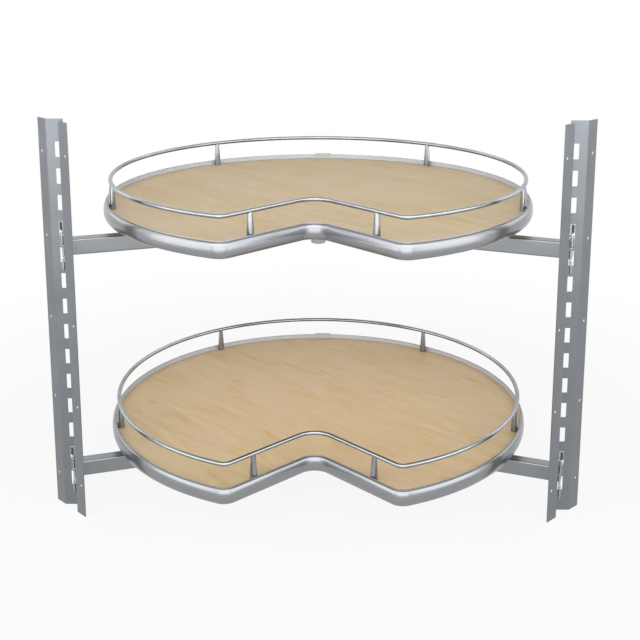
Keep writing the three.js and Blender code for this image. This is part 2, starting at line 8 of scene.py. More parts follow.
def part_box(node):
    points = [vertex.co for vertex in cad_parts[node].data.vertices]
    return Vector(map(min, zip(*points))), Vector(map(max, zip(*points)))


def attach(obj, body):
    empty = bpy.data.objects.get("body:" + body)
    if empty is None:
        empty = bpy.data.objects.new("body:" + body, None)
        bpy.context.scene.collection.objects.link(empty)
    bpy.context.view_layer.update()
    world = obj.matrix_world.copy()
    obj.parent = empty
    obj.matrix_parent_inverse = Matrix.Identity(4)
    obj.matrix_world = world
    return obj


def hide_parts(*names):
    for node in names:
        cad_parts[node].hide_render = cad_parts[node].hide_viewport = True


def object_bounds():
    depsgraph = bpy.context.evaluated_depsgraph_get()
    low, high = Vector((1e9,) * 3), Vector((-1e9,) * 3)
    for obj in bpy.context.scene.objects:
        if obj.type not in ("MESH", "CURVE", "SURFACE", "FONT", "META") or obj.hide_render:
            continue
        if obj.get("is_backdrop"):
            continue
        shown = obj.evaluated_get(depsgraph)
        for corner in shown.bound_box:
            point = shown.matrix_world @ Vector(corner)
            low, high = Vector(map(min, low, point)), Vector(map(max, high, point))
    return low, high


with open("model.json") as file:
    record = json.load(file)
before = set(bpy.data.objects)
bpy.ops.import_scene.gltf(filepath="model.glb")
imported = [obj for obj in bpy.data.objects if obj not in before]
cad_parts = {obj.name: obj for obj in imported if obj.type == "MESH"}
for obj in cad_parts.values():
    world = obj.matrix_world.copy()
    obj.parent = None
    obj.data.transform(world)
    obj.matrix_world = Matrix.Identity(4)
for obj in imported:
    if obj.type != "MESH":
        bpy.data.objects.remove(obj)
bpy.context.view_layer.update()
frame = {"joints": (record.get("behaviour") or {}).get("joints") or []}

# ---- Camera ---------------------------------------------------------------------------------
# A product photograph taken from the front and a little above with a long lens, which keeps the
# uprights nearly parallel. A small shift gives the framing.
camera_data = bpy.data.cameras.new("camera")
camera_data.sensor_width = 36.0
camera_data.lens = 63.2
camera_data.shift_x = 0.001
camera_data.shift_y = -0.2
camera_data.clip_end = 60.0
camera = bpy.data.objects.new("camera", camera_data)
camera.location = (0.0532, -2.1423, 1.0342)
camera.rotation_euler = (math.radians(90 - 12.44), 0, math.radians(1.38))
bpy.context.scene.collection.objects.link(camera)
bpy.context.scene.camera = camera

# ---- Studio ---------------------------------------------------------------------------------
# A pale seamless floor under a white sweep. Large upright softboxes stand on the floor in front and
# at both sides, where the bright metal mirrors them, with weaker ones behind and above.
scene = bpy.context.scene
scene.view_settings.view_transform = "Standard"


def linear(hex_colour):
    """An sRGB hex colour as linear light, with full alpha."""
    channels = [int(hex_colour[i:i + 2], 16) / 255 for i in (1, 3, 5)]
    return (*[c / 12.92 if c <= 0.04045 else ((c + 0.055) / 1.055) ** 2.4 for c in channels], 1.0)


def add_node(tree, kind, settings=None, **links):
    """Adds a node. Settings are its properties or socket values; links are sockets to join."""
    node = tree.nodes.new(kind)
    for name, value in (settings or {}).items():
        if hasattr(node, name):
            setattr(node, name, value)
        else:
            node.inputs[int(name) if name.isdigit() else name].default_value = value
    for name, source in links.items():
        key = int(name[1:]) if name[0] == "_" and name[1:].isdigit() else name.replace("_", " ")
        tree.links.new(source, node.inputs[key])
    return node


def seen_directly(tree):
    """1 for rays from the camera, from gloss and through glass; 0 for the light itself."""
    path = add_node(tree, "ShaderNodeLightPath")
    first = add_node(tree, "ShaderNodeMath", {"operation": "MAXIMUM"},
                     _0=path.outputs["Is Camera Ray"], _1=path.outputs["Is Glossy Ray"])
    return add_node(tree, "ShaderNodeMath", {"operation": "MAXIMUM"},
                    _0=first.outputs[0], _1=path.outputs["Is Transmission Ray"]).outputs[0]


world = bpy.data.worlds.new("studio")
scene.world = world
world.use_nodes = True
world.node_tree.nodes.clear()
ambient = add_node(world.node_tree, "ShaderNodeBackground",
                   {"Color": linear("#FFFFFF"), "Strength": 0.1})
sweep = add_node(world.node_tree, "ShaderNodeBackground",
                 {"Color": linear("#FFFFFF"), "Strength": 1.0})
sky = add_node(world.node_tree, "ShaderNodeMixShader", None, _0=seen_directly(world.node_tree),
               _1=ambient.outputs[0], _2=sweep.outputs[0])
add_node(world.node_tree, "ShaderNodeOutputWorld", None, Surface=sky.outputs[0])

FLOOR_REACH, FLOOR_Z = 40, -0.001  # metres; the paper lies just under the uprights' feet
floor_mesh = bpy.data.meshes.new("floor")
floor_mesh.from_pydata([(x * FLOOR_REACH, y * FLOOR_REACH, FLOOR_Z)
                        for x, y in ((-1, -1), (1, -1), (1, 1), (-1, 1))], [], [(0, 1, 2, 3)])
floor = bpy.data.objects.new("floor", floor_mesh)
scene.collection.objects.link(floor)
floor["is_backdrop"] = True

floor_paper = bpy.data.materials.new("seamless_paper")
floor_paper.use_nodes = True
tree = floor_paper.node_tree
tree.nodes.clear()
paper = add_node(tree, "ShaderNodeBsdfDiffuse", {"Color": linear("#CDCDCB"), "Roughness": 0.0})
white = add_node(tree, "ShaderNodeEmission", {"Color": linear("#FFFFFF"), "Strength": 1.0})
place = add_node(tree, "ShaderNodeNewGeometry")
# the paper goes over into the white sweep between 0.5 and 1.6 m from the pivot
reach = add_node(tree, "ShaderNodeVectorMath", {"operation": "LENGTH"},
                 _0=place.outputs["Position"])
fade = add_node(tree, "ShaderNodeMapRange",
                {"From Min": 0.5, "From Max": 1.6, "To Min": 0.9, "To Max": 1.0,
                 "interpolation_type": "SMOOTHSTEP"}, Value=reach.outputs["Value"])
share = add_node(tree, "ShaderNodeMath", {"operation": "MULTIPLY"},
                 _0=seen_directly(tree), _1=fade.outputs[0])
both = add_node(tree, "ShaderNodeMixShader", None, _0=share.outputs[0],
                _1=paper.outputs[0], _2=white.outputs[0])
add_node(tree, "ShaderNodeOutputMaterial", None, Surface=both.outputs[0])
floor_mesh.materials.append(floor_paper)


def softbox(name, width, depth, watts, location, target):
    """A rectangular lamp, in metres and watts, turned towards the target."""
    light = bpy.data.lights.new(name, "AREA")
    light.shape = "RECTANGLE"
    light.size = width
    light.size_y = depth
    light.energy = watts
    lamp = bpy.data.objects.new(name, light)
    lamp.location = location
    lamp.rotation_euler = (Vector(target) - Vector(location)).to_track_quat("-Z", "Y").to_euler()
    lamp.visible_camera = False
    scene.collection.objects.link(lamp)


softbox("key_softbox", 2.8, 0.6, 10.0, (0.0, -1.2, 1.4), (0.0, -0.05, 0.5))
softbox("front_softbox", 5.6, 2.7, 129.0, (0.0, -3.2, 1.35), (0.0, 0.0, 0.6))
for hand, side in (("left", -1), ("right", 1)):
    softbox(hand + "_softbox", 2.8, 2.7, 62.0, (side * 3.2, -1.5, 1.35), (0.0, -0.6, 0.6))
    softbox(hand + "_rear_softbox", 2.8, 2.1, 24.0, (side * 3.2, 1.5, 1.7), (0.0, 0.2, 0.6))
softbox("back_softbox", 3.6, 1.0, 12.0, (0.0, 2.8, 2.6), (0.0, 0.0, 0.3))

# ---- Uprights -------------------------------------------------------------------------------
# Two lengths of roll-formed 1.5 mm steel strip, each with two screw flanges that lie on the
# cabinet's side panel, a V channel between them, and a row of punched slots for the arms' hooks.
mm = 0.001
pivot = Vector(frame["joints"][0]["pos_m"])
pivot.z = 0.0
SHEET = 1.5
FOLD = 1.5                         # inside radius of each fold
PANEL = 468.0                      # pivot to the cabinet's side panel
CHANNEL_MIDDLE = 181.0             # along the panel
CHANNEL_OPENING = 41.5
FLANGE = 27.5
UPRIGHT_HEIGHT = 736.0
SLOT_PITCH = 48.2
SLOT_HEIGHT = 28.0
SLOT_WIDTH = 10.0
SLOT_CORNER = 1.2
SLOT_INSET = 10.3                  # from the fold of the channel to the middle of the slot
SLOTS = 14
SCREW_HOLE = 2.5                   # radius
SCREW_EDGE = 9.7                   # from the flange's free edge
SCREW_END = 59.3                   # from the ends of the upright
SCREW_ROWS = 5
SINK_RADIUS = 3.9                  # countersink at the sheet's face
SINK_DEPTH = 0.6
CLEAR_BEHIND, CLEAR_AHEAD = 3.0, 2.5  # the screw holes' cutters stand out of the sheet
SLOT_CLEAR = 4.0                   # and the slots'
SLOT_X = (PANEL - CHANNEL_OPENING / 2 + CHANNEL_MIDDLE) / math.sqrt(2) + SLOT_INSET
WEB_FRONT = (PANEL - CHANNEL_OPENING / 2 - CHANNEL_MIDDLE) / math.sqrt(2)
WEB_BACK = WEB_FRONT - SHEET


def slot_top(n):
    """Height of a slot's upper end; slots are counted from the top."""
    margin = (UPRIGHT_HEIGHT - (SLOTS - 1) * SLOT_PITCH - SLOT_HEIGHT) / 2
    return UPRIGHT_HEIGHT - margin - n * SLOT_PITCH


def new_object(name, vertices, faces, sharp=35):
    """An object from points in millimetres, from the pivot; edges over the angle stay sharp."""
    mesh = bpy.data.meshes.new(name)
    mesh.from_pydata([Vector(v) * mm + pivot for v in vertices], [], faces)
    mesh.validate()
    bm = bmesh.new()
    bm.from_mesh(mesh)
    bmesh.ops.recalc_face_normals(bm, faces=bm.faces)
    bm.to_mesh(mesh)
    bm.free()
    mesh.shade_smooth()
    mesh.set_sharp_from_angle(angle=math.radians(sharp))
    made = bpy.data.objects.new(name, mesh)
    scene.collection.objects.link(made)
    return made


def finish_piece(made, node, body, material):
    """The piece stands for its CAD node, rides on that node's body and wears its finish."""
    weighted = made.modifiers.new("even_shading", "WEIGHTED_NORMAL")
    weighted.keep_sharp = True
    made.data.materials.clear()
    made.data.materials.append(material)
    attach(made, body)
    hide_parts(node)


def stack_rings(rings, endless=False):
    """Points and faces of a body whose rings each have as many points.

    Its first and last ring are capped, or joined to each other where it is endless.
    """
    count = len(rings[0])
    vertices = [p for ring in rings for p in ring]
    faces = []
    for j in range(len(rings) if endless else len(rings) - 1):
        n = (j + 1) % len(rings)
        for i in range(count):
            k = (i + 1) % count
            faces.append((j * count + i, j * count + k, n * count + k, n * count + i))
    if not endless:
        faces.append(tuple(range(count)))
        faces.append(tuple(range((len(rings) - 1) * count, len(rings) * count)))
    return vertices, faces


def join_bodies(*bodies):
    """Points and faces of several bodies as one."""
    vertices, faces = [], []
    for points, sides in bodies:
        faces += [tuple(i + len(vertices) for i in side) for side in sides]
        vertices += points
    return vertices, faces


def cut_away(made, cutters):
    """Cuts the shapes out of a piece; each is the points and faces of a closed body."""
    tool = new_object("cutter", *join_bodies(*cutters))
    cut = made.modifiers.new("cut", "BOOLEAN")
    cut.operation = "DIFFERENCE"
    cut.solver = "EXACT"
    cut.object = tool
    bpy.context.view_layer.update()
    evaluated = made.evaluated_get(bpy.context.evaluated_depsgraph_get())
    result = bpy.data.meshes.new_from_object(evaluated)
    made.modifiers.remove(cut)
    made.data = result
    bpy.data.objects.remove(tool)
    made.data.shade_smooth()
    made.data.set_sharp_from_angle(angle=math.radians(35))


def both_hands(right):
    """A right-hand piece and its mirrored left-hand twin, each with the word for its hand."""
    left = bpy.data.objects.new(right.name.removesuffix("right") + "left", right.data.copy())
    left.data.transform(Matrix.Scale(-1, 4, (1, 0, 0)))
    left.data.flip_normals()
    scene.collection.objects.link(left)
    return (left, "left"), (right, "right")


def round_angles(steps):
    """The angles of so many even steps round a circle."""
    return [2 * math.pi * i / steps for i in range(steps)]


def rounded_rectangle(half_x, half_y, radius, steps):
    """Its points, anticlockwise from the right-hand side; each corner has so many steps."""
    points = []
    corners = [(half_x, half_y), (-half_x, half_y), (-half_x, -half_y), (half_x, -half_y)]
    for quarter, (x, y) in enumerate(corners):
        centre = (x - math.copysign(radius, x), y - math.copysign(radius, y))
        for i in range(steps + 1):
            angle = math.radians(90) * (quarter + i / steps)
            points.append((centre[0] + radius * math.cos(angle),
                           centre[1] + radius * math.sin(angle)))
    return points


def folded_strip(corners, thickness, inside, steps):
    """Outline of a sheet of even thickness whose middle line turns at the corners."""
    half = thickness / 2
    near, far = [], []

    def both_sides(point, normal):
        near.append(point - normal * half)
        far.append(point + normal * half)

    for i, corner in enumerate(corners):
        before = (corner - corners[i - 1]).normalized() if i else None
        after = (corners[i + 1] - corner).normalized() if i + 1 < len(corners) else None
        if before is None or after is None:
            direction = after or before
            both_sides(corner, Vector((-direction.y, direction.x)))
            continue
        turn = math.atan2(before.x * after.y - before.y * after.x, before.dot(after))
        radius = inside + half
        start = corner - before * radius * math.tan(abs(turn) / 2)
        side = math.copysign(1, turn)
        centre = start + Vector((-before.y, before.x)) * side * radius
        for k in range(steps + 1):
            angle = turn * k / steps
            normal = Matrix.Rotation(angle, 2) @ Vector((-before.y, before.x))
            both_sides(centre - normal * side * radius, normal)
    return near + far[::-1]


middle = SHEET / 2
mitre = middle * math.tan(math.pi / 8)
half_opening = CHANNEL_OPENING / 2
strip = folded_strip([
    Vector((CHANNEL_MIDDLE - half_opening - FLANGE, middle)),
    Vector((CHANNEL_MIDDLE - half_opening - mitre, middle)),
    Vector((CHANNEL_MIDDLE, half_opening + middle * math.sqrt(2))),
    Vector((CHANNEL_MIDDLE + half_opening + mitre, middle)),
    Vector((CHANNEL_MIDDLE + half_opening + FLANGE, middle)),
], SHEET, FOLD, 6)


def on_panel(along, inward):
    """From the right-hand panel's own axes to plan."""
    return ((PANEL - inward + along) / math.sqrt(2), (-PANEL + inward + along) / math.sqrt(2))


plan = [on_panel(p.x, p.y) for p in strip]
ring_heights = [i * UPRIGHT_HEIGHT / 16 for i in range(17)]
upright_right = new_object(
    "steel_upright_right", *stack_rings([[(x, y, z) for x, y in plan] for z in ring_heights]))

cutters = []
for n in range(SLOTS):
    middle_z = slot_top(n) - SLOT_HEIGHT / 2
    window = rounded_rectangle(SLOT_WIDTH / 2, SLOT_HEIGHT / 2, SLOT_CORNER, 3)
    cutters.append(stack_rings([[(SLOT_X + x, y, middle_z + z) for x, z in window]
                                for y in (-WEB_FRONT - SLOT_CLEAR, -WEB_BACK + SLOT_CLEAR)]))
screw_line = half_opening + FLANGE - SCREW_EDGE
for along in (CHANNEL_MIDDLE - screw_line, CHANNEL_MIDDLE + screw_line):
    for row in range(SCREW_ROWS):
        height = SCREW_END + row * (UPRIGHT_HEIGHT - 2 * SCREW_END) / (SCREW_ROWS - 1)
        # punched hole with a shallow countersink on the side that faces into the cabinet
        rings = []
        for inward, radius in ((-CLEAR_BEHIND, SCREW_HOLE), (SHEET - SINK_DEPTH, SCREW_HOLE),
                               (SHEET, SINK_RADIUS),
                               (SHEET + CLEAR_AHEAD, SINK_RADIUS + CLEAR_AHEAD)):
            rings.append([(*on_panel(along + radius * math.cos(a), inward),
                           height + radius * math.sin(a)) for a in round_angles(20)])
        cutters.append(stack_rings(rings))
cut_away(upright_right, cutters)

# Silver powder coat on steel: fine metal flakes in the film mirror the light softly, so the grey
# turns bright where a softbox lies in the mirror; a faint orange peel from the oven.
powder_coat = bpy.data.materials.new("silver_powder_coat")
powder_coat.use_nodes = True
tree = powder_coat.node_tree
shader = tree.nodes["Principled BSDF"]
shader.inputs["Metallic"].default_value = 0.85
where = add_node(tree, "ShaderNodeTexCoord")
# flakes are about 0.05 mm; drawn at 0.8 mm so that they show
flakes = add_node(tree, "ShaderNodeTexNoise", {"Scale": 1 / (0.8 * mm), "Detail": 2.0},
                  Vector=where.outputs["Object"])
clouds = add_node(tree, "ShaderNodeTexNoise", {"Scale": 1 / (60 * mm), "Detail": 3.0},
                  Vector=where.outputs["Object"])
tone = add_node(tree, "ShaderNodeMix", {"data_type": "FLOAT", "0": 0.35},
                _2=flakes.outputs[0], _3=clouds.outputs[0])
shade = add_node(tree, "ShaderNodeValToRGB", None, Fac=tone.outputs[0])
for stop, place, colour in zip(shade.color_ramp.elements, (0.3, 0.7), ("#6E7276", "#7C8084")):
    stop.position, stop.color = place, linear(colour)
tree.links.new(shade.outputs[0], shader.inputs["Base Color"])
gloss = add_node(tree, "ShaderNodeMapRange", {"To Min": 0.28, "To Max": 0.37},
                 Value=clouds.outputs[0])
tree.links.new(gloss.outputs[0], shader.inputs["Roughness"])
peel = add_node(tree, "ShaderNodeTexNoise", {"Scale": 1 / (2.5 * mm), "Detail": 1.0},
                Vector=where.outputs["Object"])
relief = add_node(tree, "ShaderNodeBump", {"Strength": 0.12, "Distance": 0.05 * mm},
                  Height=peel.outputs[0])
tree.links.new(relief.outputs[0], shader.inputs["Normal"])

for made, hand in both_hands(upright_right):
    finish_piece(made, "upright_" + hand, "root", powder_coat)

# ---- Arms -----------------------------------------------------------------------------------
# Rectangular steel tube, 25 x 30 mm with rounded edges, welded to the bearing sleeve on the pivot
# and to the hook plate at the upright. Each runs forward of square to reach its upright.
ARM_WIDTH = 25.0
ARM_HEIGHT = 30.0
ARM_WALL = 2.0
ARM_CORNER = 3.0
ARM_TOP = -91.0                    # from the centreline of the rail above it
ARM_BOTTOM = ARM_TOP - ARM_HEIGHT
ARM_INNER_END = 17.5               # inside the sleeve's outline, where the arms are welded
SLEEVE_RADIUS = 21.0
PLATE = 3.0
END_PLATE_LAP = 2.0                # end plate past the arm's back, tongue's plane past its front
ARM_TO_WEB = 23.1                  # arm's axis to the back of the slotted web, at the slots
slope = math.atan2(WEB_BACK - ARM_TO_WEB, SLOT_X)
end_plate_middle = (SLOT_X + (ARM_WIDTH / 2 + END_PLATE_LAP) * math.sin(slope)) / math.cos(slope)
rail_heights = {}
for level in ("upper", "lower"):
    low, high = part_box(level + "_rail")
    rail_heights[level] = (low.z + high.z) / 2 / mm


def along_arm(s, t, z):
    """s runs out along the arm's axis, t towards its front face."""
    return (s * math.cos(slope) - t * math.sin(slope),
            -s * math.sin(slope) - t * math.cos(slope), z)


def recoloured(finish, name, dark, light):
    """A copy of a finish that runs between two other colours."""
    copy = finish.copy()
    copy.name = name
    ramp = next(n for n in copy.node_tree.nodes if n.type == "VALTORGB").color_ramp
    ramp.elements[0].color = linear(dark)
    ramp.elements[1].color = linear(light)
    return copy


# The same coat as the uprights', a little lighter, as sprayed on smooth drawn tube.
arm_coat = recoloured(powder_coat, "silver_powder_coat_on_tube", "#7C8084", "#8A8D90")

outer = rounded_rectangle(ARM_WIDTH / 2, ARM_HEIGHT / 2, ARM_CORNER, 5)
inner = rounded_rectangle(ARM_WIDTH / 2 - ARM_WALL, ARM_HEIGHT / 2 - ARM_WALL,
                          ARM_CORNER - ARM_WALL, 5)
for level, rail_z in rail_heights.items():
    arm_z = rail_z + (ARM_TOP + ARM_BOTTOM) / 2
    near_end, far_end = ARM_INNER_END, end_plate_middle - PLATE / 2
    rings = [[along_arm(s, t, arm_z + z) for t, z in section]
             for section, s in ((outer, near_end), (outer, far_end), (inner, far_end),
                                (inner, near_end))]
    arm = new_object(level + "_arm_tube_right", *stack_rings(rings, endless=True))
    for made, hand in both_hands(arm):
        finish_piece(made, f"{level}_arm_{hand}", "root", arm_coat)

# ---- Hook plates ----------------------------------------------------------------------------
# Pressed 3 mm steel: a plate across the arm's end and a tongue with two hooks that go through the
# slots and drop behind the web. Zinc plated.
HOOK_NECK = 12.0
HOOK_DROP = 15.0
HOOK_NOSE = 3.5                    # stands out in front of the web
TONGUE_RISE = 6.0                  # tongue's top above the upper neck
SEAT = 0.3                         # gap between pieces that rest on or clasp each other
SLOT_USED = {"upper": 3, "lower": 12}


def prism(outline, to_space, low, high):
    """A plate between two planes; to_space puts a point of its outline and a depth in place."""
    return stack_rings([[to_space(a, b, c) for a, b in outline] for c in (low, high)])


def soften(made, width):
    """Rounds the piece's sharp edges, as tumbling or a mould does; the width is in millimetres."""
    bevel = made.modifiers.new("softened_edges", "BEVEL")
    bevel.width = width * mm
    bevel.segments = 2
    bevel.limit_method = "ANGLE"
    bevel.angle_limit = math.radians(50)
    bevel.harden_normals = True


# Zinc plate, blue passivated: a cold, half bright metal with faint cloudy marks from the barrel.
zinc_plate = bpy.data.materials.new("bright_zinc_plate")
zinc_plate.use_nodes = True
tree = zinc_plate.node_tree
shader = tree.nodes["Principled BSDF"]
shader.inputs["Metallic"].default_value = 1.0
where = add_node(tree, "ShaderNodeTexCoord")
marks = add_node(tree, "ShaderNodeTexNoise", {"Scale": 1 / (6 * mm), "Detail": 4.0},
                 Vector=where.outputs["Object"])
shade = add_node(tree, "ShaderNodeValToRGB", None, Fac=marks.outputs[0])
for stop, place, colour in zip(shade.color_ramp.elements, (0.3, 0.7), ("#93969A", "#B0B3B6")):
    stop.position, stop.color = place, linear(colour)
tree.links.new(shade.outputs[0], shader.inputs["Base Color"])
gloss = add_node(tree, "ShaderNodeMapRange", {"To Min": 0.2, "To Max": 0.36},
                 Value=marks.outputs[0])
tree.links.new(gloss.outputs[0], shader.inputs["Roughness"])

for level, rail_z in rail_heights.items():
    bottoms = [slot_top(SLOT_USED[level] + k) - SLOT_HEIGHT for k in (1, 0)]
    back = WEB_BACK - SEAT
    front = WEB_FRONT + SEAT
    nose = front + HOOK_NOSE
    rear = end_plate_middle * math.sin(slope) + ARM_WIDTH / 2 * math.cos(slope)
    # from the tongue's foot up: each hook has its nose eased at the two front corners
    shape = [(rear, bottoms[0] - HOOK_DROP), (back, bottoms[0] - HOOK_DROP)]
    for bottom in bottoms:
        shape += [(back, bottom + SEAT), (front, bottom + SEAT), (front, bottom - HOOK_DROP),
                  (nose - 1.5, bottom - HOOK_DROP), (nose - 0.4, bottom - HOOK_DROP + 0.9),
                  (nose, bottom - HOOK_DROP + 3), (nose, bottom + HOOK_NECK - 3),
                  (nose - 0.9, bottom + HOOK_NECK - 0.9), (nose - 3, bottom + HOOK_NECK),
                  (back, bottom + HOOK_NECK)]
    tongue_top = bottoms[1] + HOOK_NECK + TONGUE_RISE
    shape += [(back, tongue_top), (rear, tongue_top)]
    tongue = prism(shape, lambda a, b, c: (c, -a, b), SLOT_X - PLATE / 2, SLOT_X + PLATE / 2)
    far_side, near_side = -ARM_WIDTH / 2 - END_PLATE_LAP, ARM_WIDTH / 2
    across = [(far_side, rail_z + ARM_BOTTOM), (near_side, rail_z + ARM_BOTTOM),
              (near_side, rail_z + ARM_TOP), (far_side, rail_z + ARM_TOP)]
    end = prism(across, lambda a, b, c: along_arm(c, a, b), end_plate_middle - PLATE / 2,
                end_plate_middle + PLATE / 2)
    hook = new_object(level + "_hook_plate_steel_right", *join_bodies(tongue, end))
    for made, hand in both_hands(hook):
        soften(made, 0.35)
        finish_piece(made, f"{level}_hook_plate_{hand}", "root", zinc_plate)

# ---- Lock plugs -----------------------------------------------------------------------------
# A pressed leaf fills the slot over the upper hook, so that the arm can't be lifted out by a knock.
# On its face stands a narrow strip of black nylon: painted shade for the plug's dark recess.

# Black nylon: a soft dark sheen over a fine spark-eroded grain, slightly cloudy from the mould.
black_nylon = bpy.data.materials.new("black_nylon")
black_nylon.use_nodes = True
tree = black_nylon.node_tree
shader = tree.nodes["Principled BSDF"]
shader.inputs["IOR"].default_value = 1.53
where = add_node(tree, "ShaderNodeTexCoord")
# the eroded grain is about 0.05 mm; drawn at 0.5 mm
grain = add_node(tree, "ShaderNodeTexNoise", {"Scale": 1 / (0.5 * mm), "Detail": 2.0},
                 Vector=where.outputs["Object"])
flow = add_node(tree, "ShaderNodeTexNoise", {"Scale": 1 / (7 * mm), "Detail": 3.0},
                Vector=where.outputs["Object"])
tone = add_node(tree, "ShaderNodeMix", {"data_type": "FLOAT", "0": 0.6},
                _2=grain.outputs[0], _3=flow.outputs[0])
shade = add_node(tree, "ShaderNodeValToRGB", None, Fac=tone.outputs[0])
for stop, place, colour in zip(shade.color_ramp.elements, (0.3, 0.7), ("#252629", "#303134")):
    stop.position, stop.color = place, linear(colour)
tree.links.new(shade.outputs[0], shader.inputs["Base Color"])
gloss = add_node(tree, "ShaderNodeMapRange", {"To Min": 0.42, "To Max": 0.6},
                 Value=grain.outputs[0])
tree.links.new(gloss.outputs[0], shader.inputs["Roughness"])
relief = add_node(tree, "ShaderNodeBump", {"Strength": 0.3, "Distance": 0.03 * mm},
                  Height=grain.outputs[0])
tree.links.new(relief.outputs[0], shader.inputs["Normal"])

LOCK_TAIL = 4.0                    # behind the web
LOCK_STEP = 7.0                    # from the leaf's foot up to its tail
LEAF_HEAD = 1.2                    # in front of the web
SHADE_STRIP_HEAD = 1.4                   # in front of the leaf
SHADE_STRIP_SIDES = (-1.3, 2.9)          # from the slot's middle
for level in rail_heights:
    bottom = slot_top(SLOT_USED[level]) - SLOT_HEIGHT + HOOK_NECK + SEAT
    top = slot_top(SLOT_USED[level]) - SEAT
    tail, head = WEB_BACK - LOCK_TAIL, WEB_FRONT + LEAF_HEAD
    shape = [(tail, bottom + LOCK_STEP), (WEB_BACK - SEAT, bottom + LOCK_STEP),
             (WEB_BACK - SEAT, bottom), (head - 0.4, bottom), (head, bottom + 0.4),
             (head, top + 1.6), (head - 0.4, top + 2), (WEB_FRONT + SEAT, top + 2),
             (WEB_FRONT + SEAT, top), (tail, top)]
    half = SLOT_WIDTH / 2 - SEAT
    leaf = prism(shape, lambda a, b, c: (c, -a, b), SLOT_X - half, SLOT_X + half)
    # the black strip is painted shade for the uncut recess down the plug's middle
    brow = head + SHADE_STRIP_HEAD
    profile = [(head, bottom + 1), (brow - 0.6, bottom + 1), (brow, bottom + 2), (brow, top - 2),
               (brow - 0.6, top - 0.6), (head, top - 0.6)]
    painted_shade_strip = prism(profile, lambda a, b, c: (c, -a, b), *[SLOT_X + side for side in SHADE_STRIP_SIDES])
    plug = new_object(level + "_leaf_and_wedge_right", *join_bodies(leaf, painted_shade_strip))
    for made, hand in both_hands(plug):
        soften(made, 0.25)
        finish_piece(made, f"{level}_lock_plug_{hand}", "root", black_nylon)
        # the leaf is zinc plate; the strip keeps the black nylon, painted shade
        made.data.materials.append(zinc_plate)
        for face in made.data.polygons[:len(leaf[1])]:
            face.material_index = 1

# ---- Lock wires -----------------------------------------------------------------------------
# Hairpins of 1.8 mm spring wire that straddle the upper hook and close under its nose.
WIRE_RADIUS = 0.9
WIRE_SPREAD = 0.5                  # each leg's clearance beside the hook, besides the seat
WIRE_REACH = 5.0                   # ends behind the web's back face


def tube_along(path, radius, sides):
    """Rings of a round wire on a list of points."""
    rings = []
    normal = None
    for i, point in enumerate(path):
        ahead = path[i + 1] if i + 1 < len(path) else point
        behind = path[i - 1] if i else point
        direction = (ahead - behind).normalized()
        if normal is None:
            normal = direction.orthogonal()
        normal = (normal - direction * normal.dot(direction)).normalized()
        across = direction.cross(normal)
        rings.append([point + (normal * math.cos(a) + across * math.sin(a)) * radius
                      for a in round_angles(sides)])
    return rings


def bend_through(points, bend_steps):
    """A polyline whose corners are rounded: each entry is a point and the length it gives up."""
    path = [points[0][0]]
    for i in range(1, len(points) - 1):
        corner, give = points[i]
        back = (points[i - 1][0] - corner).normalized() * give
        on = (points[i + 1][0] - corner).normalized() * give
        for k in range(bend_steps + 1):
            t = k / bend_steps
            path.append(corner + back * (1 - t) ** 2 + on * t ** 2)
    path.append(points[-1][0])
    return path


for level in rail_heights:
    bottom = slot_top(SLOT_USED[level]) - SLOT_HEIGHT
    side = PLATE / 2 + SEAT + WIRE_RADIUS + WIRE_SPREAD
    end = -(WEB_BACK - WIRE_REACH)
    face = -(WEB_FRONT + SEAT + WIRE_RADIUS)
    low = bottom - HOOK_DROP - SEAT - WIRE_RADIUS
    high = bottom + HOOK_NECK / 2
    path = bend_through([
        (Vector((SLOT_X + side, end, high)), 0),
        (Vector((SLOT_X + side, face, high)), 2.4),
        (Vector((SLOT_X + side, face, low)), 2.5),
        (Vector((SLOT_X - side, face, low)), 2.5),
        (Vector((SLOT_X - side, face, high)), 2.4),
        (Vector((SLOT_X - side, end, high)), 0)], 6)
    wire = new_object(level + "_spring_wire_right",
                      *stack_rings(tube_along(path, WIRE_RADIUS, 10)), sharp=60)
    for made, hand in both_hands(wire):
        finish_piece(made, f"{level}_lock_wire_{hand}", "root", zinc_plate)

# ---- Hub on the arms ------------------------------------------------------------------------
# On the pivot the arms meet a turned steel sleeve with a round carrier plate on top of them. Two
# flanged nylon bushes line the sleeve, and a hardened race for the balls lies on the plate.


def turned(name, profile, rail_z, softness=0.4):
    """A turned piece about the pivot. The profile is a list of (radius, height) from the rail."""
    closed = profile[0][0] > 0
    vertices, faces = [], []
    count = len(profile)
    steps = 64
    for a in round_angles(steps):
        vertices += [(r * math.cos(a), r * math.sin(a), rail_z + z) for r, z in profile]
    for i in range(steps):
        a, b = i * count, (i + 1) % steps * count
        for j in range(count if closed else count - 1):
            k = (j + 1) % count
            faces.append((a + j, b + j, b + k, a + k))
    made = new_object(name, vertices, faces)
    bm = bmesh.new()
    bm.from_mesh(made.data)
    bmesh.ops.remove_doubles(bm, verts=bm.verts, dist=0.001 * mm)
    bmesh.ops.recalc_face_normals(bm, faces=bm.faces)
    bm.to_mesh(made.data)
    bm.free()
    made.data.shade_smooth()
    made.data.set_sharp_from_angle(angle=math.radians(35))
    soften(made, softness)
    return made


def ends_of(node, rail_z):
    """Heights of a CAD node's lower and upper end, from the rail."""
    return [v.z / mm - rail_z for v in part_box(node)]


# Ground bearing steel: oiled bare metal, as even as the zinc plate and darker.
bearing_steel = recoloured(zinc_plate, "ground_bearing_steel", "#85888C", "#9DA0A3")

